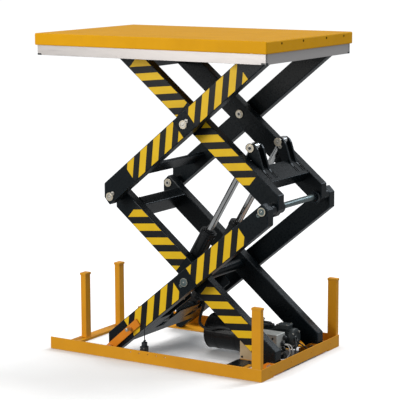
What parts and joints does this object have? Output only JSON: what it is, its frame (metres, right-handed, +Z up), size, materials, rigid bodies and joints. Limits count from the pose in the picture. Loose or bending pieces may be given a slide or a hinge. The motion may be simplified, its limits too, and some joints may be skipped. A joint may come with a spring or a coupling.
{
  "type": "double scissor lift table",
  "caption": "Hydraulic lift table: a rectangular platform on two stacked pairs of scissor arms over a low open base, with two lift cylinders and a safety trip frame.",
  "frame": {"origin": "on the floor at the centre of the base, which is also the centre of the bounding box", "axes": "+Z up, +X along the long side towards the fixed hinge end, +Y across the table away from the side with the service prop"},
  "size_m": [1.3, 0.85, 1.58],
  "materials": {
    "yellow_enamel": "semi-gloss yellow enamel",
    "black_enamel": "semi-gloss black enamel with yellow hazard bands on the arms",
    "orange_enamel": "semi-gloss orange enamel",
    "zinc_plate": "pale zinc plate",
    "chrome": "hard chrome",
    "aluminium": "satin extrusion",
    "grey_cast": "cast and painted grey",
    "black_rubber": "matt",
    "black_nylon": "satin",
    "white_cable": "satin"
  },
  "bodies": {
    "base": {"base_rail_near": "yellow_enamel", "base_rail_far": "yellow_enamel", "base_end_beam": "yellow_enamel", "base_left_bar": "yellow_enamel", "base_power_bar": "yellow_enamel", "post_left_near": "yellow_enamel", "post_left_far": "yellow_enamel", "post_right_near": "yellow_enamel", "post_right_far": "yellow_enamel", "hinge_clevis_near": "orange_enamel", "hinge_clevis_far": "orange_enamel", "hinge_pin_near": "zinc_plate", "hinge_pin_far": "zinc_plate", "oil_tank": "black_enamel", "valve_block": "aluminium", "pump_motor": "grey_cast", "tank_breather": "black_nylon", "limit_switch": "black_nylon", "hydraulic_hose": "black_rubber", "control_leads": "white_cable"},
    "lower_inner": {"arm_lower_inner_near": "black_enamel", "arm_lower_inner_far": "black_enamel", "crossmember_lower_inner": "black_enamel", "pin_mid_left_far": "zinc_plate"},
    "lower_outer": {"arm_lower_outer_near": "black_enamel", "arm_lower_outer_far": "black_enamel", "cylinder_foot_frame": "black_enamel", "shaft_lower_centre": "zinc_plate", "shaft_mid_right": "zinc_plate"},
    "upper_inner": {"arm_upper_inner_near": "black_enamel", "arm_upper_inner_far": "black_enamel", "crossmember_upper_inner": "black_enamel", "rod_lug_frame": "black_enamel", "rod_pin_near": "zinc_plate", "rod_pin_far": "zinc_plate", "pin_upper_centre_far": "zinc_plate"},
    "upper_outer": {"arm_upper_outer_near": "black_enamel", "arm_upper_outer_far": "black_enamel", "crossmember_upper_outer": "black_enamel", "pin_upper_centre_near": "zinc_plate", "pin_mid_left_near": "zinc_plate"},
    "platform": {"platform": "yellow_enamel", "platform_track_near": "yellow_enamel", "platform_track_far": "yellow_enamel", "pin_top_near": "zinc_plate", "pin_top_far": "zinc_plate"},
    "trip_frame": {"trip_bar_near": "aluminium", "trip_bar_far": "aluminium", "trip_bar_left": "aluminium", "trip_bar_right": "aluminium"},
    "rod_near": {"cylinder_rod_near": "chrome"},
    "rod_far": {"cylinder_rod_far": "chrome"},
    "barrel_near": {"cylinder_barrel_near": "black_enamel"},
    "barrel_far": {"cylinder_barrel_far": "black_enamel"},
    "roller_bottom_near": {"roller_bottom_near": "black_nylon"},
    "roller_bottom_far": {"roller_bottom_far": "black_nylon"},
    "roller_top_near": {"roller_top_near": "black_nylon"},
    "roller_top_far": {"roller_top_far": "black_nylon"},
    "service_prop": {"service_prop": "orange_enamel"},
    "switch_whisker": {"switch_whisker": "chrome"}
  },
  "joints": [
    {"name": "lift", "type": "hinge", "parent": "base", "child": "lower_inner", "pos_m": [0.577, 0, 0.035], "axis": [0, 1, 0], "range_deg": [-34.2, 7.13], "deforming": ["hydraulic_hose"]},
    {"name": "lower_cross", "type": "hinge", "parent": "lower_inner", "child": "lower_outer", "pos_m": [0.15076, 0, 0.41344], "axis": [0, 1, 0], "range_deg": [-14.31, 68.45]},
    {"name": "middle_fold", "type": "hinge", "parent": "lower_outer", "child": "upper_inner", "pos_m": [0.577, 0, 0.79188], "axis": [0, 1, 0], "range_deg": [-68.45, 14.31]},
    {"name": "upper_cross", "type": "hinge", "parent": "upper_inner", "child": "upper_outer", "pos_m": [0.15076, 0, 1.17031], "axis": [0, 1, 0], "range_deg": [-14.31, 68.45]},
    {"name": "platform_level", "type": "hinge", "parent": "upper_outer", "child": "platform", "pos_m": [0.577, 0, 1.54875], "axis": [0, 1, 0], "range_deg": [-34.25, 7.18]},
    {"name": "barrel_swing_near", "type": "hinge", "parent": "lower_outer", "child": "barrel_near", "pos_m": [-0.1, -0.135, 0.172], "axis": [0, 1, 0], "range_deg": [-0.37, 1.59]},
    {"name": "rod_slide_near", "type": "slide", "parent": "barrel_near", "child": "rod_near", "axis": [0.5054, 0, 0.8629], "range_m": [-0.3462, 0.0726]},
    {"name": "barrel_swing_far", "type": "hinge", "parent": "lower_outer", "child": "barrel_far", "pos_m": [-0.1, 0.135, 0.172], "axis": [0, 1, 0], "range_deg": [-0.37, 1.59]},
    {"name": "rod_slide_far", "type": "slide", "parent": "barrel_far", "child": "rod_far", "axis": [0.5054, 0, 0.8629], "range_m": [-0.3462, 0.0726]},
    {"name": "roller_bottom_near", "type": "hinge", "parent": "lower_outer", "child": "roller_bottom_near", "pos_m": [-0.27549, -0.3065, 0.035], "axis": [0, 1, 0], "continuous": true},
    {"name": "roller_top_near", "type": "hinge", "parent": "upper_inner", "child": "roller_top_near", "pos_m": [-0.27549, -0.2125, 1.54875], "axis": [0, 1, 0], "continuous": true},
    {"name": "roller_bottom_far", "type": "hinge", "parent": "lower_outer", "child": "roller_bottom_far", "pos_m": [-0.27549, 0.3065, 0.035], "axis": [0, 1, 0], "continuous": true},
    {"name": "roller_top_far", "type": "hinge", "parent": "upper_inner", "child": "roller_top_far", "pos_m": [-0.27549, 0.2125, 1.54875], "axis": [0, 1, 0], "continuous": true},
    {"name": "service_prop", "type": "hinge", "parent": "lower_outer", "child": "service_prop", "pos_m": [-0.27549, -0.34, 0.045], "axis": [0, 1, 0], "range_deg": [-130, 0]},
    {"name": "switch_whisker", "type": "hinge", "parent": "base", "child": "switch_whisker", "pos_m": [-0.06, -0.3645, 0.1045], "axis": [0, 1, 0], "range_deg": [-18, 18], "stiffness_Nm_per_rad": 0.05},
    {"name": "trip_frame", "type": "slide", "parent": "platform", "child": "trip_frame", "axis": [0, 0, 1], "range_m": [0, 0.01], "stiffness_N_per_m": 600, "springref_m": -0.01}
  ],
  "couplings": [
    {"joint": "lower_cross", "follows": "lift", "ratio": -2},
    {"joint": "middle_fold", "follows": "lift", "ratio": 2},
    {"joint": "upper_cross", "follows": "lift", "ratio": -2},
    {"joint": "platform_level", "follows": "lift", "ratio": 1},
    {"joint": "barrel_swing_near", "follows": "lift", "ratio": -0.045},
    {"joint": "rod_slide_near", "follows": "lift", "m_per_rad": 0.57919},
    {"joint": "barrel_swing_far", "follows": "lift", "ratio": -0.045},
    {"joint": "rod_slide_far", "follows": "lift", "m_per_rad": 0.57919}
  ]
}
